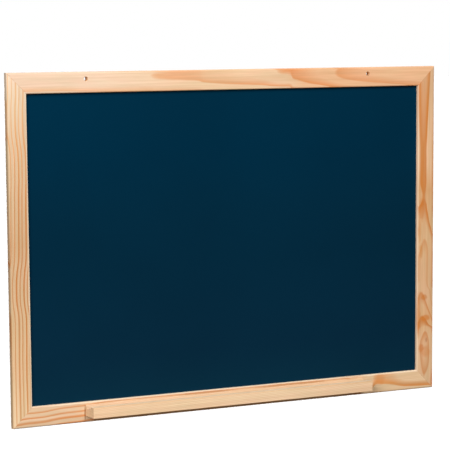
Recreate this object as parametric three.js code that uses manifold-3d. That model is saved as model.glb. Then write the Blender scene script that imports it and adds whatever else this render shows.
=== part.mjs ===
// Wall chalkboard: a painted writing panel held in a mitred pine frame, with a
// grooved chalk ledge screwed to the front of the bottom rail.
// Millimetres, +Z up. The front faces -Y and the back lies on the wall plane, y = 0.
// The origin is midway between the two hanging holes, on the wall plane.

import * as THREE from 'three';
import { mergeVertices } from 'three/addons/utils/BufferGeometryUtils.js';
import Module from 'manifold-3d';

const wasm = await Module();
wasm.setup();

// Frame
const boardWidth = 700;
const boardHeight = 500;
const railWidth = 29.5;
const railThickness = 9;
const frontEase = 2.4;
const innerEase = 2;
const backEase = 0.8;
const mitreGap = 0.1;

// Rabbet and writing panel
const lipDepth = 5;
const rabbetWidth = 7.5;
const panelThickness = 2.5;
const panelPlay = 0.5;

// Hanging holes, through the top rail
const hangingHoleRadius = 3;
const hangingHoleMouth = 0.3;
const hangingHoleDrop = 10;
const hangingHoleFromEnd = 119;

// Chalk ledge
const ledgeLength = 462;
const ledgeShift = -8;
const ledgeDepth = 29;
const ledgeHeight = 16;
const ledgeRise = 9.3;
const ledgeTopEase = 2;
const ledgeBottomEase = 0.8;
const ledgeEndEase = 0.5;
const grooveWidth = 18;
const grooveDepth = 4.8;
const grooveLand = 1.5;

// Ledge screws, countersunk, driven from the back
const screwCount = 3;
const screwFromEnd = 51;
const screwLength = 25;
const screwShankRadius = 1.5;
const screwHeadRadius = 3;
const screwHeadHeight = 1.9;
const screwPointLength = 4;
const screwSink = 0.3;
const screwClearance = 0.25;
const recessSpan = 3.2;
const recessSlot = 0.8;
const recessDepth = 1.2;

// V-shaped steel nails across each mitre
const nailLength = 7;
const nailGauge = 0.5;
const nailReach = 3.6;
const nailSpread = 4.2;
const nailSink = 0.2;
const nailClearance = 0.25;
const outerNailDistance = 8;
const nailPitch = 12;

// Steel points that hold the panel in its rabbet
const pointWidth = 5;
const pointDriven = 5.5;
const pointTip = 2.5;
const pointTail = 7;
const pointGauge = 0.4;
const pointClearance = 0.2;
const pointsPerRail = 4;
const pointsPerStile = 3;

const cutMargin = 2;
const arcSegments = 5;
const holeSegments = 24;
const grooveSegments = 16;

const rabbetDepth = railThickness - lipDepth;
const rabbetWall = railWidth - rabbetWidth;
const panelBack = -rabbetDepth + panelThickness;
const openingWidth = boardWidth - 2 * railWidth;
const openingHeight = boardHeight - 2 * railWidth;
const ledgeSeat = ledgeHeight - grooveDepth;
const screwPitch = (ledgeLength - 2 * screwFromEnd) / (screwCount - 1);
const nailPlaces = [['outer', outerNailDistance], ['inner', outerNailDistance + nailPitch]];

const pine = new THREE.MeshStandardMaterial({ color: 0xe8b98c, roughness: 0.6, metalness: 0 });
const palePine = new THREE.MeshStandardMaterial({ color: 0xeccaa2, roughness: 0.6, metalness: 0 });
const boardPaint = new THREE.MeshStandardMaterial({ color: 0x05293d, roughness: 0.75, metalness: 0 });
const zincSteel = new THREE.MeshStandardMaterial({ color: 0xa9adb0, roughness: 0.35, metalness: 1 });

// An outline with its right-angled corners eased. Each corner is [x, y, radius].
function easedOutline(corners) {
  const shape = new THREE.Shape();
  corners.forEach(([x, y, radius], index) => {
    const corner = new THREE.Vector2(x, y);
    const before = corners[(index + corners.length - 1) % corners.length];
    const after = corners[(index + 1) % corners.length];
    const toBefore = new THREE.Vector2(before[0] - x, before[1] - y).normalize();
    const toAfter = new THREE.Vector2(after[0] - x, after[1] - y).normalize();
    const start = corner.clone().addScaledVector(toBefore, radius);
    if (index === 0) shape.moveTo(start.x, start.y);
    else shape.lineTo(start.x, start.y);
    if (radius > 0) {
      const centre = start.clone().addScaledVector(toAfter, radius);
      const clockwise = toBefore.cross(toAfter) > 0;
      shape.absarc(centre.x, centre.y, radius, toAfter.clone().negate().angle(),
        toBefore.clone().negate().angle(), clockwise);
    }
  });
  shape.closePath();
  return shape;
}

// Extrudes an outline drawn as (across, y) along +X, centred on x = 0.
// The outline's first coordinate becomes -Z.
function extrudeAlongX(shape, length, options) {
  const geometry = new THREE.ExtrudeGeometry(shape, { bevelEnabled: false, ...options, depth: length });
  const down = new THREE.Vector3(0, 0, -1);
  const back = new THREE.Vector3(0, 1, 0);
  const along = new THREE.Vector3(1, 0, 0);
  geometry.applyMatrix4(new THREE.Matrix4().makeBasis(down, back, along));
  return geometry.translate(-length / 2, 0, 0);
}

// Extrudes an outline drawn as (x, z) from one depth into the board towards the front, along -Y.
function extrudeFromBack(shape, startY, length) {
  const geometry = new THREE.ExtrudeGeometry(shape, { bevelEnabled: false, depth: length });
  const along = new THREE.Vector3(1, 0, 0);
  const up = new THREE.Vector3(0, 0, 1);
  const front = new THREE.Vector3(0, -1, 0);
  geometry.applyMatrix4(new THREE.Matrix4().makeBasis(along, up, front));
  return geometry.translate(0, startY, 0);
}

// Merges a closed geometry's vertices and drops the empty triangles at a lathe's poles.
function asSolid(geometry) {
  const bare = new THREE.BufferGeometry();
  bare.setAttribute('position', geometry.attributes.position.clone());
  if (geometry.index) bare.setIndex(geometry.index.clone());
  const merged = mergeVertices(bare);
  const triangles = [];
  for (let i = 0; i < merged.index.count; i += 3) {
    const [a, b, c] = [0, 1, 2].map((k) => merged.index.getX(i + k));
    if (a !== b && b !== c && c !== a) triangles.push(a, b, c);
  }
  return new wasm.Manifold(new wasm.Mesh({
    numProp: 3,
    vertProperties: new Float32Array(merged.attributes.position.array),
    triVerts: new Uint32Array(triangles),
  }));
}

function asGeometry(solid) {
  const mesh = solid.getMesh();
  const geometry = new THREE.BufferGeometry();
  geometry.setAttribute('position', new THREE.BufferAttribute(mesh.vertProperties, 3));
  geometry.setIndex(new THREE.BufferAttribute(mesh.triVerts, 1));
  const flat = geometry.toNonIndexed();
  flat.computeVertexNormals();
  return flat;
}

function cutFrom(body, cutters) {
  return cutters.reduce((solid, cutter) => solid.subtract(asSolid(cutter)), body);
}

// One frame member with its outer edge at z = 0 and mitred ends.
function mitredMember(length) {
  const section = easedOutline([
    [0, 0, backEase],
    [0, -railThickness, frontEase],
    [railWidth, -railThickness, innerEase],
    [railWidth, -rabbetDepth, 0],
    [rabbetWall, -rabbetDepth, 0],
    [rabbetWall, 0, 0],
  ]);
  const geometry = extrudeAlongX(section, length, { curveSegments: arcSegments });
  const position = geometry.attributes.position;
  for (let i = 0; i < position.count; i += 1) {
    const inset = -position.getZ(i) + mitreGap * Math.SQRT1_2;
    position.setX(i, Math.sign(position.getX(i)) * (length / 2 - inset));
  }
  return asSolid(geometry);
}

// A V drawn with its apex at the origin and its legs towards +X, grown all round by a margin.
function nailOutline(margin) {
  const legLength = Math.hypot(nailReach, nailSpread);
  const slope = nailSpread / legLength;
  const apexShift = margin / slope;
  const thickness = nailGauge / slope;
  const reach = nailReach * (1 + margin / legLength);
  const spread = nailSpread * (1 + margin / legLength);
  const inner = thickness + apexShift;
  return new THREE.Shape([
    new THREE.Vector2(-apexShift, 0),
    new THREE.Vector2(reach - apexShift, -spread),
    new THREE.Vector2(reach + inner, -spread),
    new THREE.Vector2(inner, 0),
    new THREE.Vector2(reach + inner, spread),
    new THREE.Vector2(reach - apexShift, spread),
  ]);
}

// Puts a nail or its slot on the mitre, at a distance from the frame's outer corner.
function placeOnMitre(geometry, cornerX, cornerZ, turn, distance) {
  geometry.translate(distance, 0, 0);
  geometry.rotateY(turn);
  return geometry.translate(cornerX, 0, cornerZ);
}

function nailSlots(length) {
  const slots = [];
  for (const [cornerX, turn] of [[-length / 2, Math.PI / 4], [length / 2, 3 * Math.PI / 4]]) {
    for (const [, distance] of nailPlaces) {
      const depth = nailSink + nailLength + nailClearance + cutMargin;
      const slot = extrudeFromBack(nailOutline(nailClearance), cutMargin, depth);
      slots.push(placeOnMitre(slot, cornerX, 0, turn, distance));
    }
  }
  return slots;
}

// A panel point drawn with its tip towards +Z and its tail on the panel, z = 0 at the rabbet wall.
function pointOutline(margin) {
  const half = pointWidth / 2 + margin;
  return new THREE.Shape([
    new THREE.Vector2(-half, -pointTail),
    new THREE.Vector2(half, -pointTail),
    new THREE.Vector2(half, pointDriven - pointTip + margin),
    new THREE.Vector2(0, pointDriven + margin),
    new THREE.Vector2(-half, pointDriven - pointTip + margin),
  ]);
}

function pointPlaces(length, count) {
  const span = length - 2 * railWidth;
  return Array.from({ length: count }, (_, index) => ((index + 0.5) / count - 0.5) * span);
}

function pointSlots(length, count) {
  return pointPlaces(length, count).map((x) => {
    const depth = pointGauge + 2 * pointClearance;
    const startY = panelBack + pointGauge + pointClearance;
    const slot = extrudeFromBack(pointOutline(pointClearance), startY, depth);
    return slot.translate(x, 0, -rabbetWall);
  });
}

// A hole through the top rail with its front mouth broken by a small chamfer.
function hangingHole(x) {
  const outside = cutMargin;
  const profile = [
    new THREE.Vector2(0, -railThickness - outside),
    new THREE.Vector2(hangingHoleRadius + hangingHoleMouth + outside, -railThickness - outside),
    new THREE.Vector2(hangingHoleRadius, -railThickness + hangingHoleMouth),
    new THREE.Vector2(hangingHoleRadius, outside),
    new THREE.Vector2(0, outside),
  ];
  return new THREE.LatheGeometry(profile, holeSegments).translate(x, 0, -hangingHoleDrop);
}

function hangingHoles() {
  const x = boardWidth / 2 - hangingHoleFromEnd;
  return [hangingHole(-x), hangingHole(x)];
}

// A countersunk screw on the Y axis, its point towards -Y and its head's face at y = -screwSink.
function screwProfile(margin, headFace) {
  const shank = screwShankRadius + margin;
  const head = screwHeadRadius + margin;
  const coneEnd = -screwSink - screwHeadHeight;
  const tip = -screwSink - screwLength;
  return [
    new THREE.Vector2(0, tip - margin),
    new THREE.Vector2(shank, tip + screwPointLength - margin),
    new THREE.Vector2(shank, coneEnd - margin),
    new THREE.Vector2(head, -screwSink - margin),
    new THREE.Vector2(head, headFace),
    new THREE.Vector2(0, headFace),
  ].filter((point, index, all) => index === 0 || !point.equals(all[index - 1]));
}

function screwHole(x, z) {
  return new THREE.LatheGeometry(screwProfile(screwClearance, cutMargin), holeSegments).translate(x, 0, z);
}

function screwPlaces() {
  return Array.from({ length: screwCount }, (_, index) => (index - (screwCount - 1) / 2) * screwPitch);
}

// A screw with its cross recess.
function ledgeScrew() {
  const body = new THREE.LatheGeometry(screwProfile(0, -screwSink), holeSegments);
  const recessHeight = recessDepth + screwSink;
  const bars = [[recessSpan, recessSlot], [recessSlot, recessSpan]].map(([width, height]) => (
    new THREE.BoxGeometry(width, 2 * recessHeight, height)
  ));
  return asGeometry(cutFrom(asSolid(body), bars));
}

// The ledge's section as (z, y), extruded along X. Its back is at y = 0 and its bottom at z = 0.
function chalkLedge() {
  const section = new THREE.Shape();
  const chord = grooveWidth / 2;
  const grooveRadius = (chord * chord + grooveDepth * grooveDepth) / (2 * grooveDepth);
  const centreZ = ledgeSeat + grooveRadius;
  const centreY = -grooveLand - chord;
  const halfAngle = Math.asin(chord / grooveRadius);
  section.moveTo(0, 0);
  section.lineTo(0, -ledgeDepth + ledgeBottomEase);
  section.absarc(-ledgeBottomEase, -ledgeDepth + ledgeBottomEase, ledgeBottomEase, 0, -Math.PI / 2, true);
  section.lineTo(-ledgeHeight + ledgeTopEase, -ledgeDepth);
  section.absarc(-ledgeHeight + ledgeTopEase, -ledgeDepth + ledgeTopEase, ledgeTopEase,
    -Math.PI / 2, -Math.PI, true);
  section.lineTo(-ledgeHeight, centreY - chord);
  section.absarc(-centreZ, centreY, grooveRadius, -halfAngle, halfAngle, false);
  section.lineTo(-ledgeHeight, 0);
  section.closePath();
  return extrudeAlongX(section, ledgeLength - 2 * ledgeEndEase, {
    curveSegments: grooveSegments,
    bevelEnabled: true,
    bevelThickness: ledgeEndEase,
    bevelSize: ledgeEndEase,
    bevelOffset: -ledgeEndEase,
    bevelSegments: 2,
  });
}

function addMesh(parent, name, geometry, material) {
  const mesh = new THREE.Mesh(geometry, material);
  mesh.name = name;
  parent.add(mesh);
  return mesh;
}

// A group whose +Z points outwards from the board's centre, with its origin on the outer edge.
function addSide(board, turn, outerDistance) {
  const side = new THREE.Group();
  side.rotation.y = turn;
  side.position.set(outerDistance * Math.sin(turn), 0, outerDistance * Math.cos(turn));
  board.add(side);
  return side;
}

function addPoints(side, sideName, length, count) {
  pointPlaces(length, count).forEach((x, index) => {
    const geometry = extrudeFromBack(pointOutline(0), panelBack + pointGauge, pointGauge);
    const point = addMesh(side, `panel_point_${sideName}_${index + 1}`, geometry, zincSteel);
    point.position.set(x, 0, -rabbetWall);
  });
}

function addNails(board) {
  const corners = {
    top_left: [-1, 1, Math.PI / 4],
    top_right: [1, 1, 3 * Math.PI / 4],
    bottom_right: [1, -1, 5 * Math.PI / 4],
    bottom_left: [-1, -1, 7 * Math.PI / 4],
  };
  for (const [corner, [sideX, sideZ, turn]] of Object.entries(corners)) {
    const group = new THREE.Group();
    group.position.set(sideX * boardWidth / 2, 0, sideZ * boardHeight / 2);
    group.rotation.y = turn;
    board.add(group);
    for (const [place, distance] of nailPlaces) {
      const geometry = extrudeFromBack(nailOutline(0), -nailSink, nailLength);
      const nail = addMesh(group, `mitre_nail_${corner}_${place}`, geometry, zincSteel);
      nail.position.x = distance;
    }
  }
}

const board = new THREE.Group();
board.name = 'wall_chalkboard';
board.position.z = hangingHoleDrop - boardHeight / 2;

const ledgeBottom = -boardHeight / 2 + ledgeRise;
const screwHeight = ledgeBottom + ledgeSeat / 2;

const top = addSide(board, 0, boardHeight / 2);
const bottom = addSide(board, Math.PI, boardHeight / 2);
const left = addSide(board, -Math.PI / 2, boardWidth / 2);
const right = addSide(board, Math.PI / 2, boardWidth / 2);

const topRail = cutFrom(mitredMember(boardWidth), [
  ...nailSlots(boardWidth),
  ...pointSlots(boardWidth, pointsPerRail),
  ...hangingHoles(),
]);
addMesh(top, 'top_rail', asGeometry(topRail), pine);

const bottomScrewHoles = screwPlaces().map((x) => (
  screwHole(-(ledgeShift + x), -(screwHeight + boardHeight / 2))
));
const bottomRail = cutFrom(mitredMember(boardWidth), [
  ...nailSlots(boardWidth),
  ...pointSlots(boardWidth, pointsPerRail),
  ...bottomScrewHoles,
]);
addMesh(bottom, 'bottom_rail', asGeometry(bottomRail), pine);

const stile = asGeometry(cutFrom(mitredMember(boardHeight), [
  ...nailSlots(boardHeight),
  ...pointSlots(boardHeight, pointsPerStile),
]));
addMesh(left, 'left_stile', stile, pine);
addMesh(right, 'right_stile', stile.clone(), pine);

const panelOverlap = rabbetWidth - panelPlay;
const panel = addMesh(board, 'writing_panel', new THREE.BoxGeometry(
  openingWidth + 2 * panelOverlap, panelThickness, openingHeight + 2 * panelOverlap), boardPaint);
panel.position.y = panelBack - panelThickness / 2;

const ledgeScrewHoles = screwPlaces().map((x) => (
  screwHole(x, screwHeight - ledgeBottom).translate(0, railThickness, 0)
));
const ledge = addMesh(board, 'chalk_ledge', asGeometry(cutFrom(asSolid(chalkLedge()), ledgeScrewHoles)),
  palePine);
ledge.position.set(ledgeShift, -railThickness, ledgeBottom);

screwPlaces().forEach((x, index) => {
  const screw = addMesh(board, `ledge_screw_${index + 1}`, ledgeScrew(), zincSteel);
  screw.position.set(ledgeShift + x, 0, screwHeight);
});

addNails(board);
addPoints(top, 'top', boardWidth, pointsPerRail);
addPoints(bottom, 'bottom', boardWidth, pointsPerRail);
addPoints(left, 'left', boardHeight, pointsPerStile);
addPoints(right, 'right', boardHeight, pointsPerStile);

export default board;
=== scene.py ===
import math

import bmesh
import bpy
from mathutils import Matrix, Vector


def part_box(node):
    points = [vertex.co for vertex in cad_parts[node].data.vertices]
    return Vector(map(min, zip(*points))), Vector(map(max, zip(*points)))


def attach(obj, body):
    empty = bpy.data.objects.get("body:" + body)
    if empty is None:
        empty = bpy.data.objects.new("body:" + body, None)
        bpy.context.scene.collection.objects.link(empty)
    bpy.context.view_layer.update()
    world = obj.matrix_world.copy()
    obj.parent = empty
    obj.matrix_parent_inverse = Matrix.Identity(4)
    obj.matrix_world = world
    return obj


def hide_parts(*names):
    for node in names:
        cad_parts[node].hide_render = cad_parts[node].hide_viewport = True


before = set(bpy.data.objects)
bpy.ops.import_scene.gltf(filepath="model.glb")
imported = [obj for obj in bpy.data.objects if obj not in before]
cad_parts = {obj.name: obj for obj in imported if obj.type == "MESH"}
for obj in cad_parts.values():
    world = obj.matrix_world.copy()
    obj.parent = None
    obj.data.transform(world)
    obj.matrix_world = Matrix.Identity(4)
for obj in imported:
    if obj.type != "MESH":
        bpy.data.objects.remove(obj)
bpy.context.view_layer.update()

MM = 0.001

# Sizes read from the frame
rail_low, rail_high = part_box("top_rail")
stile_low, stile_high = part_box("left_stile")
bottom_low, bottom_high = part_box("bottom_rail")
panel_low, panel_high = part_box("writing_panel")
ledge_low, ledge_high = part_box("chalk_ledge")
RAIL_WIDTH = rail_high.z - rail_low.z
HALF_RAIL = RAIL_WIDTH / 2
THICKNESS = rail_high.y - rail_low.y
BOARD_TOP = rail_high.z
BOARD_BOTTOM = bottom_low.z
BOARD_WIDTH = 2 * abs(stile_low.x)
BOARD_HEIGHT = BOARD_TOP - BOARD_BOTTOM
BOARD_CENTRE = Vector((0, 0, (BOARD_TOP + BOARD_BOTTOM) / 2))
RABBET_DEPTH = -panel_low.y
LEDGE_HEIGHT = ledge_high.z - ledge_low.z

# Sizes of the joints and edges
RABBET_WIDTH = 7.5 * MM
RABBET_WALL = RAIL_WIDTH - RABBET_WIDTH
MITRE_GAP = 0.1 * MM
FRONT_EASE = 2.4 * MM
INNER_EASE = 2 * MM
BACK_EASE = 0.8 * MM
FINE_EASE = 0.15 * MM
HOLE_RADIUS = 3 * MM
HOLE_MOUTH = 0.3 * MM
HOLE_FROM_END = 119 * MM
GROOVE_WIDTH = 18 * MM
GROOVE_DEPTH = 4.8 * MM
GROOVE_LAND = 1.5 * MM
LEDGE_TOP_EASE = 2 * MM
LEDGE_BOTTOM_EASE = 0.8 * MM
LEDGE_FINE_EASE = 0.5 * MM
CUT_MARGIN = 2 * MM

# Steps of the round forms
EASE_STEPS = 6
BACK_EASE_STEPS = 4
HOLE_STEPS = 48
GROOVE_STEPS = 160

# The four members: turn about Y from the top rail's place, distance of the outer edge, length
SIDES = {
    "top_rail": (0, BOARD_HEIGHT / 2, BOARD_WIDTH),
    "bottom_rail": (math.pi, BOARD_HEIGHT / 2, BOARD_WIDTH),
    "left_stile": (-math.pi / 2, BOARD_WIDTH / 2, BOARD_HEIGHT),
    "right_stile": (math.pi / 2, BOARD_WIDTH / 2, BOARD_HEIGHT),
}


# Mesh helpers

def box_body(low, high):
    """A box between two corners, as a bmesh."""
    bm = bmesh.new()
    place = Matrix.Translation((high + low) / 2) @ Matrix.Diagonal((*(high - low), 1))
    bmesh.ops.create_cube(bm, size=1, matrix=place)
    return bm


def edges_along(bm, axis, test):
    """The edges that run along one axis and whose middle passes the test."""
    parallel = 0.999
    found = []
    for edge in bm.edges:
        along = (edge.verts[1].co - edge.verts[0].co).normalized()
        if abs(along[axis]) > parallel and test((edge.verts[0].co + edge.verts[1].co) / 2):
            found.append(edge)
    return found


def ease_edges(bm, edges, width, segments):
    bmesh.ops.bevel(bm, geom=edges, offset=width, offset_type="OFFSET", segments=segments,
                    profile=0.5, affect="EDGES", clamp_overlap=True, material=-1)


def new_piece(name, bm, materials):
    """Makes an object of a finished bmesh, with its place in its mesh."""
    bmesh.ops.recalc_face_normals(bm, faces=bm.faces)
    mesh = bpy.data.meshes.new(name)
    bm.to_mesh(mesh)
    bm.free()
    piece = bpy.data.objects.new(name, mesh)
    bpy.context.scene.collection.objects.link(piece)
    for material in materials:
        mesh.materials.append(material)
    return piece


def carve(piece, cutter_bm):
    """Cuts the piece with closed cutters apart from each other. The cut shows the last material."""
    for face in cutter_bm.faces:
        face.material_index = len(piece.data.materials) - 1
    cutter = new_piece(piece.name + "_cutter", cutter_bm, piece.data.materials)
    cut = piece.modifiers.new("cut", "BOOLEAN")
    cut.operation = "DIFFERENCE"
    cut.solver = "EXACT"
    cut.object = cutter
    graph = bpy.context.evaluated_depsgraph_get()
    carved = bpy.data.meshes.new_from_object(piece.evaluated_get(graph))
    carved.name = piece.name
    piece.modifiers.clear()
    piece.data = carved
    bpy.data.objects.remove(cutter)


def finish_edges(piece, width, segments=2, angle=35):
    """Shades the round parts smooth and gives every remaining sharp edge a fine easing."""
    for polygon in piece.data.polygons:
        polygon.use_smooth = True
    ease = piece.modifiers.new("fine_ease", "BEVEL")
    ease.width = width
    ease.segments = segments
    ease.limit_method = "ANGLE"
    ease.angle_limit = math.radians(angle)
    ease.harden_normals = True


def seat(piece, slot, *nodes):
    """Makes the piece stand for its CAD nodes, on the one body."""
    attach(piece, "root")
    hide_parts(*nodes)


# Shader helpers

def add_node(tree, kind, **settings):
    node = tree.nodes.new(kind)
    for name, value in settings.items():
        setattr(node, name, value)
    return node


def feed(tree, value, socket):
    """Sets a socket to a number or a colour, or links an output to it."""
    if isinstance(value, (int, float)):
        socket.default_value = value
    elif isinstance(value, tuple):
        socket.default_value = (*value, 1)
    else:
        tree.links.new(value, socket)


def math_node(tree, operation, first, second=None):
    node = add_node(tree, "ShaderNodeMath", operation=operation)
    feed(tree, first, node.inputs[0])
    if second is not None:
        feed(tree, second, node.inputs[1])
    return node.outputs[0]


def length_node(tree, first, second):
    """The length of a vector with two parts."""
    squares = math_node(tree, "ADD", math_node(tree, "MULTIPLY", first, first),
                        math_node(tree, "MULTIPLY", second, second))
    return math_node(tree, "SQRT", squares)


def range_node(tree, value, from_low, from_high, to_low=0.0, to_high=1.0):
    node = add_node(tree, "ShaderNodeMapRange")
    tree.links.new(value, node.inputs["Value"])
    for socket, level in (("From Min", from_low), ("From Max", from_high), ("To Min", to_low),
                          ("To Max", to_high)):
        feed(tree, level, node.inputs[socket])
    return node.outputs["Result"]


def object_place(tree):
    """The place in the piece's own coordinates."""
    return add_node(tree, "ShaderNodeTexCoord").outputs["Object"]


def split(tree, vector):
    """The X, Y and Z outputs of a vector."""
    node = add_node(tree, "ShaderNodeSeparateXYZ")
    tree.links.new(vector, node.inputs[0])
    return node.outputs


def stretch(tree, vector, scale, offset=(0, 0, 0)):
    node = add_node(tree, "ShaderNodeMapping", vector_type="POINT")
    tree.links.new(vector, node.inputs["Vector"])
    node.inputs["Scale"].default_value = scale
    node.inputs["Location"].default_value = offset
    return node.outputs["Vector"]


def noise_node(tree, vector, scale, detail=2.0, roughness=0.5, log=0.0):
    """Noise in space. Another value of log gives another pattern."""
    node = add_node(tree, "ShaderNodeTexNoise", noise_dimensions="4D")
    tree.links.new(vector, node.inputs["Vector"])
    node.inputs["Scale"].default_value = scale
    node.inputs["Detail"].default_value = detail
    node.inputs["Roughness"].default_value = roughness
    feed(tree, log, node.inputs["W"])
    return node.outputs["Fac"]


def grain_noise(tree, vector, along, across, detail, roughness, log):
    """Noise drawn out along the grain, from its scales along and across it."""
    return noise_node(tree, stretch(tree, vector, (along, across, across)), 1.0, detail, roughness, log)


def swing(tree, noise, size):
    """Noise that swings to both sides of zero."""
    return math_node(tree, "MULTIPLY", math_node(tree, "SUBTRACT", noise, 0.5), size)


def ramp_node(tree, value, stops):
    node = add_node(tree, "ShaderNodeValToRGB")
    elements = node.color_ramp.elements
    while len(elements) < len(stops):
        elements.new(0.5)
    for element, (position, colour) in zip(elements, stops):
        element.position = position
        element.color = (*colour, 1)
    tree.links.new(value, node.inputs["Fac"])
    return node.outputs["Color"]


def mix_colours(tree, factor, first, second, blend="MIX"):
    """Mixes two colours. The Mix node's colours are its inputs 6 and 7, and its output 2."""
    node = add_node(tree, "ShaderNodeMix", data_type="RGBA", blend_type=blend)
    for index, value in ((0, factor), (6, first), (7, second)):
        feed(tree, value, node.inputs[index])
    return node.outputs[2]


def grey(value):
    return (value, value, value)


def srgb(red, green, blue):
    """The linear colour of an sRGB colour given in 0 to 255."""
    def linear(level):
        part = level / 255
        return part / 12.92 if part <= 0.04045 else ((part + 0.055) / 1.055) ** 2.4
    return tuple(linear(level) for level in (red, green, blue))


def new_group(name, inputs, outputs):
    """A shader node group with its sockets. Returns its tree, its input node and its output node."""
    tree = bpy.data.node_groups.new(name, "ShaderNodeTree")
    for socket_name, kind, value in inputs:
        socket = tree.interface.new_socket(socket_name, in_out="INPUT", socket_type=kind)
        if value is not None:
            socket.default_value = value
    for socket_name, kind in outputs:
        tree.interface.new_socket(socket_name, in_out="OUTPUT", socket_type=kind)
    return tree, tree.nodes.new("NodeGroupInput"), tree.nodes.new("NodeGroupOutput")


def place_group(tree, group, **values):
    node = add_node(tree, "ShaderNodeGroup", node_tree=group)
    for name, value in values.items():
        node.inputs[name.replace("_", " ")].default_value = value
    return node


def new_material(name):
    """A material with one Principled BSDF. Returns the material, its tree and the shader."""
    material = bpy.data.materials.new(name)
    material.use_nodes = True
    tree = material.node_tree
    return material, tree, tree.nodes["Principled BSDF"]


def add_bump(tree, shader, height, strength, distance):
    bump = add_node(tree, "ShaderNodeBump")
    bump.inputs["Strength"].default_value = strength
    bump.inputs["Distance"].default_value = distance
    tree.links.new(height, bump.inputs["Height"])
    tree.links.new(bump.outputs["Normal"], shader.inputs["Normal"])


# Pine. Every board is cut out of its own log: u runs along the grain, v across the board's face and
# w into the board from its face. The growth rings are circles round a pith that lies behind the face.

# The painted shade on a member's outer edge and the painted highlight on its arris by the panel: how
# far each reaches from that edge, and how far it keeps its full strength
EDGE_SHADE_REACH = 1.6 * MM
EDGE_SHADE_FULL = 0.1 * MM
EDGE_SHADE_TINT = (0.3, 0.26, 0.24)
# Painted highlight on the arris by the panel: its reach, full strength and colour
ARRIS_HIGHLIGHT_REACH = 2.6 * MM
ARRIS_HIGHLIGHT_FULL = 0.9 * MM
ARRIS_HIGHLIGHT_COLOUR = srgb(250, 232, 208)

# A mark is gone a little below this depth
MARK_DEPTH = 6 * MM


def build_ring_group():
    """Counts the growth rings. Ring Phase is the count on the middle line of the face."""
    tree, given, out = new_group("pine_rings", [
        ("Vector", "NodeSocketVector", None),
        ("Log", "NodeSocketFloat", 0.0),
        ("Pith Across", "NodeSocketFloat", 0.0),
        ("Pith Depth", "NodeSocketFloat", 0.03),
        ("Ring Width", "NodeSocketFloat", 0.003),
        ("Ring Phase", "NodeSocketFloat", 0.0),
        ("Waviness", "NodeSocketFloat", 0.1),
    ], [
        ("Rings", "NodeSocketFloat"),
    ])
    vector = given.outputs["Vector"]
    log = given.outputs["Log"]
    slow = grain_noise(tree, vector, 7, 60, 2.0, 0.5, log)
    quick = grain_noise(tree, vector, 40, 260, 2.0, 0.55, log)
    waves = math_node(tree, "ADD", swing(tree, slow, 2.4), swing(tree, quick, 0.8))
    waves = math_node(tree, "MULTIPLY", waves, given.outputs["Waviness"])
    parts = split(tree, vector)
    pith = given.outputs["Pith Across"]
    depth = given.outputs["Pith Depth"]
    radius = length_node(tree, math_node(tree, "SUBTRACT", parts["Y"], pith),
                         math_node(tree, "SUBTRACT", depth, parts["Z"]))
    growth = math_node(tree, "SUBTRACT", radius, length_node(tree, pith, depth))
    rings = math_node(tree, "DIVIDE", growth, given.outputs["Ring Width"])
    rings = math_node(tree, "ADD", math_node(tree, "ADD", rings, given.outputs["Ring Phase"]), waves)
    tree.links.new(rings, out.inputs["Rings"])
    return tree


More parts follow.
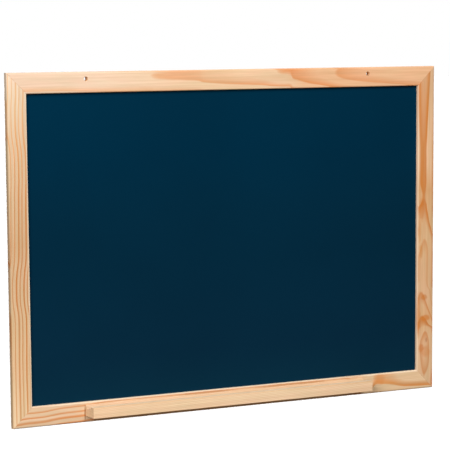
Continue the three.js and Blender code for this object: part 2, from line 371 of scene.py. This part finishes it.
def build_figure_group():
    """Colours the rings: pale early wood, then orange late wood from Late Start to the ring's end. It
    paints shade on the outer edge too, and a painted highlight on the arris by the panel."""
    tree, given, out = new_group("pine_figure", [
        ("Vector", "NodeSocketVector", None),
        ("Log", "NodeSocketFloat", 0.0),
        ("Rings", "NodeSocketFloat", 0.0),
        ("Late Start", "NodeSocketFloat", 0.6),
        ("Late Softness", "NodeSocketFloat", 0.25),
        ("Early Colour", "NodeSocketColor", (0.8, 0.6, 0.4, 1)),
        ("Late Colour", "NodeSocketColor", (0.6, 0.3, 0.1, 1)),
        ("Outer Side", "NodeSocketFloat", 1.0),
        ("Edge Stain", "NodeSocketFloat", 0.0),
        ("Arris Wear", "NodeSocketFloat", 0.0),
    ], [
        ("Colour", "NodeSocketColor"),
        ("Late Wood", "NodeSocketFloat"),
        ("Height", "NodeSocketFloat"),
    ])
    vector = given.outputs["Vector"]
    log = given.outputs["Log"]
    streak = grain_noise(tree, vector, 5, 210, 3.0, 0.6, log)
    fibre = grain_noise(tree, vector, 22, 1100, 2.0, 0.6, log)
    cloud = grain_noise(tree, vector, 16, 90, 2.0, 0.5, log)

    # Late wood comes on softly, ends sharply and is thinner in some streaks
    phase = math_node(tree, "FRACT", given.outputs["Rings"])
    start = given.outputs["Late Start"]
    softness = given.outputs["Late Softness"]
    rise = range_node(tree, phase, start, math_node(tree, "ADD", start, softness))
    end = math_node(tree, "SUBTRACT", 1.0, math_node(tree, "MULTIPLY", softness, 0.16))
    late = math_node(tree, "MULTIPLY", rise, range_node(tree, phase, end, 1.0, 1.0, 0.0))
    late = math_node(tree, "MULTIPLY", late, range_node(tree, streak, 0.35, 0.6, 0.72, 1.0))

    colour = mix_colours(tree, late, given.outputs["Early Colour"], given.outputs["Late Colour"])
    for mask, low, high in ((streak, (0.91, 0.88, 0.83), (1.05, 1.07, 1.09)),
                            (cloud, (1.03, 0.98, 0.96), (0.96, 0.98, 0.93)),
                            (fibre, (0.94, 0.92, 0.9), (1.03, 1.03, 1.03))):
        tint = ramp_node(tree, mask, [(0.32, low), (0.68, high)])
        colour = mix_colours(tree, 1.0, colour, tint, "MULTIPLY")

    # Painted shade darkens the outer edge, and a painted highlight lightens the arris by the panel
    outward = math_node(tree, "MULTIPLY", split(tree, vector)["Y"], given.outputs["Outer Side"])
    edge_shade = range_node(tree, outward, HALF_RAIL - EDGE_SHADE_REACH, HALF_RAIL - EDGE_SHADE_FULL)
    edge_shade = math_node(tree, "MULTIPLY", edge_shade, given.outputs["Edge Stain"])
    arris_highlight = range_node(tree, outward, ARRIS_HIGHLIGHT_REACH - HALF_RAIL, ARRIS_HIGHLIGHT_FULL - HALF_RAIL)
    arris_highlight = math_node(tree, "MULTIPLY", arris_highlight, given.outputs["Arris Wear"])
    colour = mix_colours(tree, edge_shade, colour, mix_colours(tree, 1.0, colour, EDGE_SHADE_TINT, "MULTIPLY"))
    colour = mix_colours(tree, arris_highlight, colour, ARRIS_HIGHLIGHT_COLOUR)

    height = math_node(tree, "ADD", math_node(tree, "MULTIPLY", late, 0.6),
                       math_node(tree, "MULTIPLY", fibre, 0.4))
    tree.links.new(colour, out.inputs["Colour"])
    tree.links.new(late, out.inputs["Late Wood"])
    tree.links.new(height, out.inputs["Height"])
    return tree


def build_mark_group():
    """A soft spot on the board's face that ends within the board's thickness. With a Taper it grows
    longer toward higher v."""
    tree, given, out = new_group("pine_mark", [
        ("Vector", "NodeSocketVector", None),
        ("Along", "NodeSocketFloat", 0.0),
        ("Across", "NodeSocketFloat", 0.0),
        ("Half Length", "NodeSocketFloat", 0.02),
        ("Half Width", "NodeSocketFloat", 0.005),
        ("Taper", "NodeSocketFloat", 0.0),
    ], [
        ("Mask", "NodeSocketFloat"),
    ])
    parts = split(tree, given.outputs["Vector"])
    across = math_node(tree, "SUBTRACT", parts["Y"], given.outputs["Across"])
    across = math_node(tree, "DIVIDE", across, given.outputs["Half Width"])
    size = math_node(tree, "ADD", 1.0, math_node(tree, "MULTIPLY", across, given.outputs["Taper"]))
    along = math_node(tree, "SUBTRACT", parts["X"], given.outputs["Along"])
    along = math_node(tree, "DIVIDE", along, math_node(tree, "MULTIPLY", size, given.outputs["Half Length"]))
    depth = math_node(tree, "DIVIDE", parts["Z"], MARK_DEPTH)
    rough = swing(tree, noise_node(tree, given.outputs["Vector"], 130.0), 0.7)
    reach = math_node(tree, "ADD", length_node(tree, along, across), depth)
    reach = math_node(tree, "ADD", reach, rough)
    tree.links.new(range_node(tree, reach, 1.15, 0.65), out.inputs["Mask"])
    return tree


def knot_curve(tree, value, knots, unit_in=1.0, unit_out=1.0):
    """A smooth curve through knots of (value, result), given in the two units."""
    first, last = knots[0][0], knots[-1][0]
    low = min(result for spot, result in knots)
    high = max(result for spot, result in knots)
    curve = add_node(tree, "ShaderNodeFloatCurve")
    points = curve.mapping.curves[0].points
    spots = [((spot - first) / (last - first), (result - low) / (high - low)) for spot, result in knots]
    points[0].location = spots[0]
    points[1].location = spots[-1]
    for spot in spots[1:-1]:
        points.new(*spot)
    for point in points:
        point.handle_type = "AUTO_CLAMPED"
    curve.mapping.update()
    tree.links.new(range_node(tree, value, first * unit_in, last * unit_in), curve.inputs["Value"])
    return range_node(tree, curve.outputs["Value"], 0, 1, low * unit_out, high * unit_out)


def tone_node(tree, along, stops):
    """The colour along a board, from stops of (millimetres, sRGB colour)."""
    first, last = stops[0][0], stops[-1][0]
    tones = [((spot - first) / (last - first), srgb(*colour)) for spot, colour in stops]
    return ramp_node(tree, range_node(tree, along, first * MM, last * MM), tones)


def board_place(tree, along, across_middle, face):
    """The u, v and w of a board that runs along X or along Z, from the piece's own coordinates."""
    parts = split(tree, object_place(tree))
    turned = add_node(tree, "ShaderNodeCombineXYZ")
    across = "Z" if along == "X" else "X"
    for index, axis in enumerate((along, across, "Y")):
        tree.links.new(parts[axis], turned.inputs[index])
    return stretch(tree, turned.outputs[0], (1, 1, 1), (0, -across_middle, -face))


def pine_material(name, place, log, rings, figure, early, late, phases, piths, starts, marks=(),
                  light_painter=None):
    """Varnished pine for one board. Along it, in millimetres: early and late hold the colours of the
    pale and the dark wood, phases the ring count on the middle line and piths the pith's place
    across. starts holds the late wood's start by the ring's number. A mark is a knot, a streak or
    a painted shadow: its place along and across, half its length and width, its taper, strength
    and colour. The last argument, when given, adds painted light and shade to the colour."""
    material, tree, shader = new_material(name)
    vector = board_place(tree, *place)
    parts = split(tree, vector)
    along = parts["X"]
    counter = place_group(tree, ring_group, Log=log, **rings)
    tree.links.new(vector, counter.inputs["Vector"])
    tree.links.new(knot_curve(tree, along, phases, MM), counter.inputs["Ring Phase"])
    tree.links.new(knot_curve(tree, along, piths, MM, MM), counter.inputs["Pith Across"])
    count = counter.outputs["Rings"]
    board = place_group(tree, figure_group, Log=log, **figure)
    for socket, value in (("Vector", vector), ("Rings", count),
                          ("Late Start", knot_curve(tree, math_node(tree, "FLOOR", count), starts)),
                          ("Early Colour", tone_node(tree, along, early)),
                          ("Late Colour", tone_node(tree, along, late))):
        tree.links.new(value, board.inputs[socket])
    colour = board.outputs["Colour"]
    for spot, across, half_length, half_width, taper, strength, tone in marks:
        mark = place_group(tree, mark_group, Along=spot * MM, Across=across * MM, Taper=taper,
                           Half_Length=half_length * MM, Half_Width=half_width * MM)
        tree.links.new(vector, mark.inputs["Vector"])
        mask = math_node(tree, "MULTIPLY", mark.outputs["Mask"], strength)
        colour = mix_colours(tree, mask, colour, srgb(*tone))
    if light_painter:
        colour = light_painter(tree, parts, colour)
    tree.links.new(colour, shader.inputs["Base Color"])
    tree.links.new(range_node(tree, board.outputs["Late Wood"], 0, 1, 0.82, 0.72),
                   shader.inputs["Roughness"])
    shader.inputs["Specular IOR Level"].default_value = 0.06
    add_bump(tree, shader, board.outputs["Height"], 0.25, 0.2 * MM)
    return material


def bore_material():
    """Rough end grain inside a drilled hole."""
    material, tree, shader = new_material("drilled_pine")
    fibres = noise_node(tree, object_place(tree), 1600.0, 2.0, 0.6)
    tree.links.new(ramp_node(tree, fibres, [(0.35, srgb(200, 154, 114)), (0.65, srgb(230, 188, 144))]),
                   shader.inputs["Base Color"])
    shader.inputs["Roughness"].default_value = 0.85
    shader.inputs["Specular IOR Level"].default_value = 0.2
    return material


ring_group = build_ring_group()
figure_group = build_figure_group()
mark_group = build_mark_group()
bore_pine = bore_material()

top_pine = pine_material(
    "pine_top_rail", place=("X", (rail_low.z + rail_high.z) / 2, rail_low.y), log=1.0,
    rings={"Pith_Depth": 0.06, "Ring_Width": 0.004, "Waviness": 0.06},
    figure={"Late_Softness": 0.5},
    early=((-350, (243, 212, 189)), (-210, (247, 218, 192)), (-90, (247, 213, 180)),
           (0, (245, 210, 173)), (90, (245, 208, 174)), (120, (247, 198, 158)), (350, (242, 193, 153))),
    late=((-350, (241, 184, 139)), (-140, (240, 180, 134)), (-100, (236, 170, 121)),
          (0, (230, 155, 101)), (110, (236, 155, 98)), (180, (234, 158, 104)), (350, (234, 159, 105))),
    phases=((-350, 1.33), (-270, 1.33), (-235, 1.24), (-190, 1.17), (-160, 1.14), (-138, 1.15),
            (-124, 1.06), (-110, 1.02), (-80, 0.98), (-55, 0.92), (-45, 0.82), (0, 0.66), (50, 0.53),
            (64, 0.4), (75, 0.24), (82, 0.2), (96, 0.17), (102, -0.05), (110, -0.14), (120, -0.26),
            (130, -0.38), (155, -0.65), (200, -1.2), (260, -1.5), (350, -1.8)),
    piths=((-350, 7.7), (60, 7.7), (78, 10.7), (95, 10.7), (104, 7.7), (155, 7.7), (350, 3)),
    starts=((-3, 0.5), (-2, 0.5), (-1, 0.38), (0, 0.5), (1, 0.48), (2, 0.5)))

bottom_pine = pine_material(
    "pine_bottom_rail", place=("X", (bottom_low.z + bottom_high.z) / 2, bottom_low.y), log=2.0,
    rings={"Pith_Depth": 0.06, "Ring_Width": 0.0064, "Waviness": 0.08},
    figure={"Late_Softness": 0.3, "Outer_Side": -1.0, "Edge_Stain": 0.45, "Arris_Wear": 0.52},
    early=((-350, (236, 204, 171)), (-200, (234, 202, 170)), (350, (236, 203, 165))),
    late=((-350, (222, 150, 98)), (-235, (222, 150, 98)), (-215, (204, 137, 90)),
          (200, (204, 135, 82)), (225, (226, 153, 90)), (265, (230, 159, 98)), (300, (222, 146, 82)),
          (350, (222, 146, 82))),
    phases=((-350, 0.47), (-340, 0.54), (-328, 0.65), (-310, 0.66), (-290, 0.86), (-270, 1.06),
            (-245, 1.12), (-200, 1.5), (-155, 1.56), (-90, 1.54), (40, 1.58), (110, 1.58), (190, 1.5),
            (232, -0.38), (240, -0.32), (249, -0.07), (256, -0.08), (270, -0.14), (290, -0.32),
            (302, -0.4), (340, -0.45), (350, -0.46)),
    piths=((-350, 100), (190, 100), (232, 11), (350, 11)),
    starts=((-3, 0.6), (-2, 0.6), (-1, 0.55), (0, 0.52), (1, 0.36), (2, 0.5)),
    # Painted shadow: the first mark beside the ledge's left end, and the four long thin marks on the strip
    # just above the ledge
    marks=((-240, -1, 1.4, 13, 0, 0.6, (150, 92, 48)), (254, 6, 9, 9, 0, 0.36, (220, 136, 68)),
           (-8, 11.6, 250, 2.6, 0, 0.38, (205, 150, 106)), (-45, 11.4, 48, 2.2, 0, 0.6, (186, 130, 86)),
           (100, 11.4, 62, 2.4, 0, 0.7, (188, 132, 84)), (202, 13.2, 30, 2.8, 0, 0.42, (204, 156, 116))))

left_pine = pine_material(
    "pine_left_stile", place=("Z", (stile_low.x + stile_high.x) / 2, stile_low.y), log=3.0,
    rings={"Pith_Depth": 0.03, "Ring_Width": 0.0054, "Waviness": 0.12},
    figure={"Outer_Side": -1.0, "Edge_Stain": 0.32, "Arris_Wear": 1.0},
    early=((-490, (238, 210, 174)), (-400, (225, 193, 155)), (-340, (222, 191, 154)),
           (-275, (220, 188, 154)), (-230, (214, 180, 144)), (-190, (216, 185, 150)),
           (-90, (223, 195, 162)), (10, (248, 226, 204))),
    late=((-490, (218, 164, 116)), (-440, (206, 142, 88)), (-300, (198, 125, 66)),
          (-170, (204, 136, 80)), (-100, (224, 158, 102)), (-50, (234, 180, 130)), (10, (238, 190, 146))),
    phases=((-490, 0.2), (-410, 0.15), (-340, 0.3), (-300, -0.26), (-270, -0.02), (-240, 0.57),
            (-200, 0.68), (-160, 0.79), (-130, 0.94), (-85, 0.48), (-60, 0.2), (-20, 0.48), (10, 0.57)),
    piths=((-490, 150), (10, 151)),
    starts=((-5, 0.6), (-4, 0.45), (-3, 0.62), (-2, 0.45), (-1, 0.6), (0, 0.45), (1, 0.62), (2, 0.66),
            (3, 0.66)))

right_pine = pine_material(
    "pine_right_stile", place=("Z", -(stile_low.x + stile_high.x) / 2, stile_low.y), log=4.0,
    rings={"Pith_Depth": 0.04, "Ring_Width": 0.0033, "Waviness": 0.06},
    figure={"Late_Softness": 0.38, "Edge_Stain": 0.3, "Arris_Wear": 0.4},
    early=((-490, (228, 190, 154)), (-410, (229, 190, 152)), (-380, (226, 178, 132)),
           (-350, (228, 186, 148)), (-260, (228, 188, 146)), (-205, (225, 182, 138)),
           (-180, (223, 174, 127)), (-140, (239, 198, 160)), (10, (232, 192, 155))),
    late=((-490, (209, 130, 67)), (10, (218, 138, 70))),
    phases=((-490, -0.8), (-471, -1.0), (-460, -1.12), (-450, -1.22), (-424, -1.3), (-408, -1.14),
            (-399, -0.99), (-390, -0.4), (-386, -0.24), (-376, 0.1), (-360, 0.7), (-345, 1.07),
            (-337, 1.19), (-330, 1.6), (-320, 1.75), (-283, 1.76), (-262, 1.92), (-255, 2.01),
            (-245, 2.25), (-235, 2.4), (-220, 2.64), (-205, 2.86), (-190, 2.98), (-165, 2.92),
            (-120, 2.93), (-90, 2.85), (10, 2.56)),
    piths=((-490, 0), (-471, -1), (-450, 0), (-424, -1), (-400, 0), (-390, -4), (-381, -5),
           (-341, -7.5), (-320, -5), (-283, -4.3), (-255, -2), (-235, -5), (-220, -6.5), (-205, -5),
           (-190, -3), (-165, -4.5), (-120, -4.5), (10, -3)),
    starts=((-4, 0.5), (-3, 0.38), (-2, 0.66), (-1, 0.4), (0, 0.6), (1, 0.72), (2, 0.46), (3, 0.66),
            (4, 0.7)),
    marks=((-432, 0, 9, 10, 0.5, 0.45, (212, 134, 72)), (-426, -7, 6, 5, 0, 0.55, (206, 120, 56)),
           (-414, 2.5, 4, 2, 0, 0.45, (176, 112, 72)), (-375, -12, 34, 3.5, 0, 0.5, (205, 122, 48)),
           (-379, 0, 5, 9, 0, 0.7, (212, 128, 56)), (-347, -2, 5, 6, 0, 0.6, (205, 124, 54)),
           (-210, -7, 19, 5, 0, 0.5, (206, 122, 50)), (-274, -8, 13, 3, 0, 0.45, (206, 134, 60)),
           (-243, -10.5, 22, 3, 0, 0.4, (208, 138, 74))))


def ledge_painted_light(tree, parts, colour):
    """Painted light on the ledge: a painted highlight lightens the lip's flat top, and painted shade darkens
    the eased edge before it.
    """
    up, inward = parts["Y"], parts["Z"]
    top = LEDGE_HEIGHT / 2
    on_top = range_node(tree, up, top - 0.5 * MM, top - 0.1 * MM)
    behind_edge = range_node(tree, inward, 1.4 * MM, 2.4 * MM, 0, 0.5)
    near_top = range_node(tree, up, top - 2.4 * MM, top - 1.2 * MM)
    at_edge = range_node(tree, inward, 2.2 * MM, 1.2 * MM, 0, 0.45)
    colour = mix_colours(tree, math_node(tree, "MULTIPLY", near_top, at_edge), colour, srgb(206, 158, 112))
    return mix_colours(tree, math_node(tree, "MULTIPLY", on_top, behind_edge), colour, srgb(255, 236, 204))


def ledge_material(name, early, late, light_painter=None):
    """Pine with the ledge's fine straight grain, in the colours of its outside or in the darker colours of
    painted shade in its groove.
    """
    return pine_material(
        name, place=("X", (ledge_low.z + ledge_high.z) / 2, ledge_low.y), log=5.0,
        rings={"Pith_Depth": 0.04, "Ring_Width": 0.0021, "Waviness": 0.25}, figure={},
        early=early, late=late,
        phases=((-239, 0.0), (-60, 3.6), (90, 5.2), (223, 8.2)),
        piths=((-239, 100), (223, 101)),
        starts=((-9, 0.5), (30, 0.6)), light_painter=light_painter)


ledge_pine = ledge_material(
    "pine_ledge",
    early=((-239, (245, 215, 181)), (60, (249, 222, 190)), (223, (240, 209, 177))),
    late=((-239, (238, 197, 155)), (223, (230, 190, 148))), light_painter=ledge_painted_light)
# The groove's pine is a darker copy of the ledge's: painted shade in the groove
shaded_groove_pine = ledge_material(
    "pine_groove_painted_shade",
    early=((-239, (230, 196, 165)), (60, (235, 201, 168)), (223, (226, 190, 155))),
    late=((-239, (222, 180, 140)), (223, (219, 175, 133))))


# Board paint, hardboard and steel

# The paint's colours from the panel's foot to its top, in millimetres of z, with painted light: lighter
# toward the top
PAINT_AND_PAINTED_LIGHT_TONES = ((-460, (7, 43, 62)), (-400, (6, 40, 60)), (-270, (3, 40, 60)), (-190, (2, 42, 63)),
               (-100, (0, 44, 67)), (-20, (0, 45, 68)))


def board_paint_material():
    """Matt blue board paint with the faint mottling of a roller, and painted light that makes it lighter
    toward the top.
    """
    material, tree, shader = new_material("board_paint")
    place = object_place(tree)
    cloud = noise_node(tree, place, 5.0, 3.0, 0.5)
    grain = noise_node(tree, place, 1400.0, 2.0, 0.6)
    base = tone_node(tree, split(tree, place)["Z"], PAINT_AND_PAINTED_LIGHT_TONES)
    for mask in (cloud, grain):
        tint = ramp_node(tree, mask, [(0.35, grey(0.6)), (0.65, grey(1.4))])
        base = mix_colours(tree, 0.12, base, tint, "MULTIPLY")
    tree.links.new(base, shader.inputs["Base Color"])
    shader.inputs["Roughness"].default_value = 0.92
    shader.inputs["Specular IOR Level"].default_value = 0.02
    add_bump(tree, shader, grain, 0.12, 0.1 * MM)
    return material


def hardboard_material():
    """Brown hardboard back, with the print of the wire screen that it was pressed on."""
    material, tree, shader = new_material("hardboard")
    place = object_place(tree)
    screen = add_node(tree, "ShaderNodeTexVoronoi", feature="F1", distance="CHEBYCHEV")
    screen.inputs["Scale"].default_value = 900
    screen.inputs["Randomness"].default_value = 0.25
    tree.links.new(place, screen.inputs["Vector"])
    fluff = noise_node(tree, place, 260.0, 4.0, 0.65)
    cloud = noise_node(tree, place, 12.0, 3.0, 0.5)
    base = ramp_node(tree, cloud, [(0.3, srgb(120, 84, 56)), (0.7, srgb(138, 98, 66))])
    flecks = ramp_node(tree, fluff, [(0.3, grey(0.78)), (0.7, grey(1.12))])
    tree.links.new(mix_colours(tree, 0.8, base, flecks, "MULTIPLY"), shader.inputs["Base Color"])
    shader.inputs["Roughness"].default_value = 0.85
    add_bump(tree, shader, math_node(tree, "ADD", screen.outputs["Distance"], fluff), 0.6, 0.2 * MM)
    return material


def zinc_material():
    """Bright zinc plate with a faint spangle."""
    material, tree, shader = new_material("zinc_steel")
    spangle = noise_node(tree, object_place(tree), 700.0, 3.0, 0.6)
    tree.links.new(ramp_node(tree, spangle, [(0.3, srgb(176, 180, 184)), (0.7, srgb(206, 208, 210))]),
                   shader.inputs["Base Color"])
    tree.links.new(range_node(tree, spangle, 0, 1, 0.28, 0.5), shader.inputs["Roughness"])
    shader.inputs["Metallic"].default_value = 1
    return material


board_paint = board_paint_material()
hardboard = hardboard_material()
zinc = zinc_material()


# Frame members

def member_body(length):
    """A member along X with its outer edge at z = 0, its back at y = 0 and mitred ends."""
    bm = bmesh.new()
    half = length / 2
    corners = [(0, 0), (-THICKNESS, 0), (-THICKNESS, -RAIL_WIDTH), (-RABBET_DEPTH, -RAIL_WIDTH),
               (-RABBET_DEPTH, -RABBET_WALL), (0, -RABBET_WALL)]
    end = bm.faces.new([bm.verts.new((-half, y, z)) for y, z in corners])
    grown = bmesh.ops.extrude_face_region(bm, geom=[end])
    far = [item for item in grown["geom"] if isinstance(item, bmesh.types.BMVert)]
    bmesh.ops.translate(bm, verts=far, vec=(length, 0, 0))
    bmesh.ops.recalc_face_normals(bm, faces=bm.faces)
    near = 0.1 * MM
    for y, z, width, segments in ((-THICKNESS, 0, FRONT_EASE, EASE_STEPS),
                                  (-THICKNESS, -RAIL_WIDTH, INNER_EASE, EASE_STEPS),
                                  (0, 0, BACK_EASE, BACK_EASE_STEPS)):
        edges = edges_along(bm, 0, lambda p: abs(p.y - y) < near and abs(p.z - z) < near)
        ease_edges(bm, edges, width, segments)
    for side in (-1, 1):
        edge_x = side * (half - MITRE_GAP * math.sqrt(0.5))
        geometry = bm.verts[:] + bm.edges[:] + bm.faces[:]
        cut = bmesh.ops.bisect_plane(bm, geom=geometry, plane_co=(edge_x, 0, 0),
                                     plane_no=(side, 0, -1), clear_outer=True)
        rim = [item for item in cut["geom_cut"] if isinstance(item, bmesh.types.BMEdge)]
        bmesh.ops.contextual_create(bm, geom=rim)
    return bm


def hole_cutter(bm, x):
    """Adds the cutter of one hanging hole, with an eased front mouth, to a bmesh."""
    drop = -BOARD_TOP
    front = -THICKNESS
    profile = [(0, front - CUT_MARGIN), (HOLE_RADIUS + HOLE_MOUTH + CUT_MARGIN, front - CUT_MARGIN),
               (HOLE_RADIUS, front + HOLE_MOUTH), (HOLE_RADIUS, CUT_MARGIN), (0, CUT_MARGIN)]
    verts = [bm.verts.new((x + away, y, drop)) for away, y in profile]
    edges = [bm.edges.new(pair) for pair in zip(verts, verts[1:])]
    bmesh.ops.spin(bm, geom=verts + edges, cent=(x, 0, drop), axis=(0, 1, 0), angle=2 * math.pi,
                   steps=HOLE_STEPS, use_merge=True)
    bmesh.ops.remove_doubles(bm, verts=bm.verts, dist=0.001 * MM)


def side_matrix(turn, distance):
    """Turns a member about Y and moves its outer edge out from the board's centre."""
    outward = Vector((math.sin(turn), 0, math.cos(turn)))
    return Matrix.Translation(BOARD_CENTRE + outward * distance) @ Matrix.Rotation(turn, 4, "Y")


def frame_member(node, material):
    turn, distance, length = SIDES[node]
    piece = new_piece(node + "_pine", member_body(length), [material])
    if node == "top_rail":
        piece.data.materials.append(bore_pine)
        cutters = bmesh.new()
        for side in (-1, 1):
            hole_cutter(cutters, side * (length / 2 - HOLE_FROM_END))
        carve(piece, cutters)
    piece.data.transform(side_matrix(turn, distance))
    finish_edges(piece, FINE_EASE)
    seat(piece, "frame_pine", node)


for node, material in (("top_rail", top_pine), ("bottom_rail", bottom_pine),
                       ("left_stile", left_pine), ("right_stile", right_pine)):
    frame_member(node, material)


# Writing panel: painted in front, bare hardboard on its edges and back

def writing_panel():
    bm = box_body(panel_low, panel_high)
    for face in bm.faces:
        face.material_index = 0 if face.normal.y < -0.5 else 1
    piece = new_piece("painted_panel", bm, [board_paint, hardboard])
    finish_edges(piece, FINE_EASE)
    seat(piece, "board_paint", "writing_panel")


writing_panel()


# Chalk ledge

def groove_cutter(middle_x, length):
    """A cylinder along X that cuts the groove's round hollow into the ledge's top."""
    chord = GROOVE_WIDTH / 2
    radius = (chord * chord + GROOVE_DEPTH * GROOVE_DEPTH) / (2 * GROOVE_DEPTH)
    axis = Vector((middle_x, ledge_high.y - GROOVE_LAND - chord, ledge_high.z - GROOVE_DEPTH + radius))
    turn = Matrix.Rotation(math.pi / 2, 4, "Y")
    bm = bmesh.new()
    bmesh.ops.create_cone(bm, cap_ends=True, segments=GROOVE_STEPS, radius1=radius, radius2=radius,
                          depth=length, matrix=Matrix.Translation(axis) @ turn)
    return bm


def chalk_ledge():
    bm = box_body(ledge_low, ledge_high)
    middle = (ledge_high + ledge_low) / 2
    for top, width in ((True, LEDGE_TOP_EASE), (False, LEDGE_BOTTOM_EASE)):
        edges = edges_along(bm, 0, lambda p: p.y < middle.y and (p.z > middle.z) == top)
        ease_edges(bm, edges, width, EASE_STEPS)
    piece = new_piece("grooved_ledge", bm, [ledge_pine, shaded_groove_pine])
    carve(piece, groove_cutter(middle.x, ledge_high.x - ledge_low.x + 2 * CUT_MARGIN))
    finish_edges(piece, LEDGE_FINE_EASE, segments=3, angle=25)
    seat(piece, "ledge_pine", "chalk_ledge")


chalk_ledge()


# Steel fasteners keep their CAD shapes

for name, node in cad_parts.items():
    if name.startswith(("mitre_nail", "panel_point", "ledge_screw")):
        node.data.materials.clear()
        node.data.materials.append(zinc)


# Floor, world, lights and camera

FLOOR_LEVEL = -1.6
FLOOR_REACH = 60
FLOOR_SHOWN = grey(0.92)
FLOOR_BOUNCE = (0.12, 0.082, 0.048)
FLOOR_GLOW = 0.3
WORLD_LIGHT = 0.11

# The photograph's camera, in metres, and in pixels of a square picture
CAMERA_PLACE = Vector((-1.3555, -2.6427, 0.0648))
CAMERA_FORWARD = Vector((0.4503, 0.8838, -0.1267))
CAMERA_UP = Vector((0.0637, 0.1098, 0.9919))
PHOTO_SIDE = 450
FOCAL_PIXELS = 2022
AXIS_PIXEL_Y = 289.7
SENSOR_MM = 36


def shown_background(tree):
    """1 for the rays that show the background: from the camera, and through gloss and glass."""
    path = add_node(tree, "ShaderNodeLightPath")
    return math_node(tree, "MAXIMUM", path.outputs["Is Camera Ray"],
                     math_node(tree, "MAXIMUM", path.outputs["Is Glossy Ray"],
                               path.outputs["Is Transmission Ray"]))


def floor_material():
    """A pale floor that keeps shadows, and throws little light back up at the board."""
    material, tree, shader = new_material("pale_floor")
    seen = shown_background(tree)
    tree.links.new(mix_colours(tree, seen, FLOOR_BOUNCE, FLOOR_SHOWN), shader.inputs["Base Color"])
    shader.inputs["Roughness"].default_value = 1
    shader.inputs["Specular IOR Level"].default_value = 0
    glow = add_node(tree, "ShaderNodeEmission")
    tree.links.new(math_node(tree, "MULTIPLY", seen, FLOOR_GLOW), glow.inputs["Strength"])
    both = add_node(tree, "ShaderNodeAddShader")
    tree.links.new(shader.outputs[0], both.inputs[0])
    tree.links.new(glow.outputs[0], both.inputs[1])
    tree.links.new(both.outputs[0], tree.nodes["Material Output"].inputs["Surface"])
    return material


def make_floor():
    bm = bmesh.new()
    bmesh.ops.create_grid(bm, x_segments=1, y_segments=1, size=FLOOR_REACH,
                          matrix=Matrix.Translation((0, 0, FLOOR_LEVEL)))
    floor = new_piece("floor", bm, [floor_material()])


def make_world():
    """White where it shows, and a dim white light on the board."""
    world = bpy.data.worlds.new("studio")
    bpy.context.scene.world = world
    world.use_nodes = True
    tree = world.node_tree
    background = tree.nodes["Background"]
    background.inputs["Color"].default_value = (1, 1, 1, 1)
    tree.links.new(range_node(tree, shown_background(tree), 0, 1, WORLD_LIGHT, 1.0),
                   background.inputs["Strength"])


def add_lamp(name, kind, place, strength, **settings):
    """A lamp that looks at the board's centre."""
    lamp = bpy.data.lights.new(name, kind)
    lamp.energy = strength
    for setting, value in settings.items():
        setattr(lamp, setting, value)
    holder = bpy.data.objects.new(name, lamp)
    holder.location = place
    holder.rotation_euler = (BOARD_CENTRE - Vector(place)).to_track_quat("-Z", "Y").to_euler()
    bpy.context.scene.collection.objects.link(holder)


def make_camera():
    lens = bpy.data.cameras.new("camera")
    lens.sensor_width = SENSOR_MM
    lens.lens = FOCAL_PIXELS / PHOTO_SIDE * SENSOR_MM
    lens.shift_y = (AXIS_PIXEL_Y - PHOTO_SIDE / 2) / PHOTO_SIDE
    camera = bpy.data.objects.new("camera", lens)
    right = CAMERA_FORWARD.cross(CAMERA_UP).normalized()
    up = right.cross(CAMERA_FORWARD).normalized()
    turn = Matrix((right, up, -CAMERA_FORWARD.normalized())).transposed()
    camera.matrix_world = Matrix.Translation(CAMERA_PLACE) @ turn.to_4x4()
    bpy.context.scene.collection.objects.link(camera)
    bpy.context.scene.camera = camera


make_floor()
make_world()
add_lamp("key", "SUN", place=(0.15, -1.9, 1.65), strength=1.81, angle=math.radians(24))
add_lamp("fill", "AREA", place=(-2.9, -2.75, 1.2), strength=130, shape="RECTANGLE", size=2, size_y=1)
add_lamp("back", "SUN", place=(0.8, 2.4, 1.0), strength=2.4, angle=math.radians(30))
make_camera()
bpy.context.scene.view_settings.view_transform = "Standard"
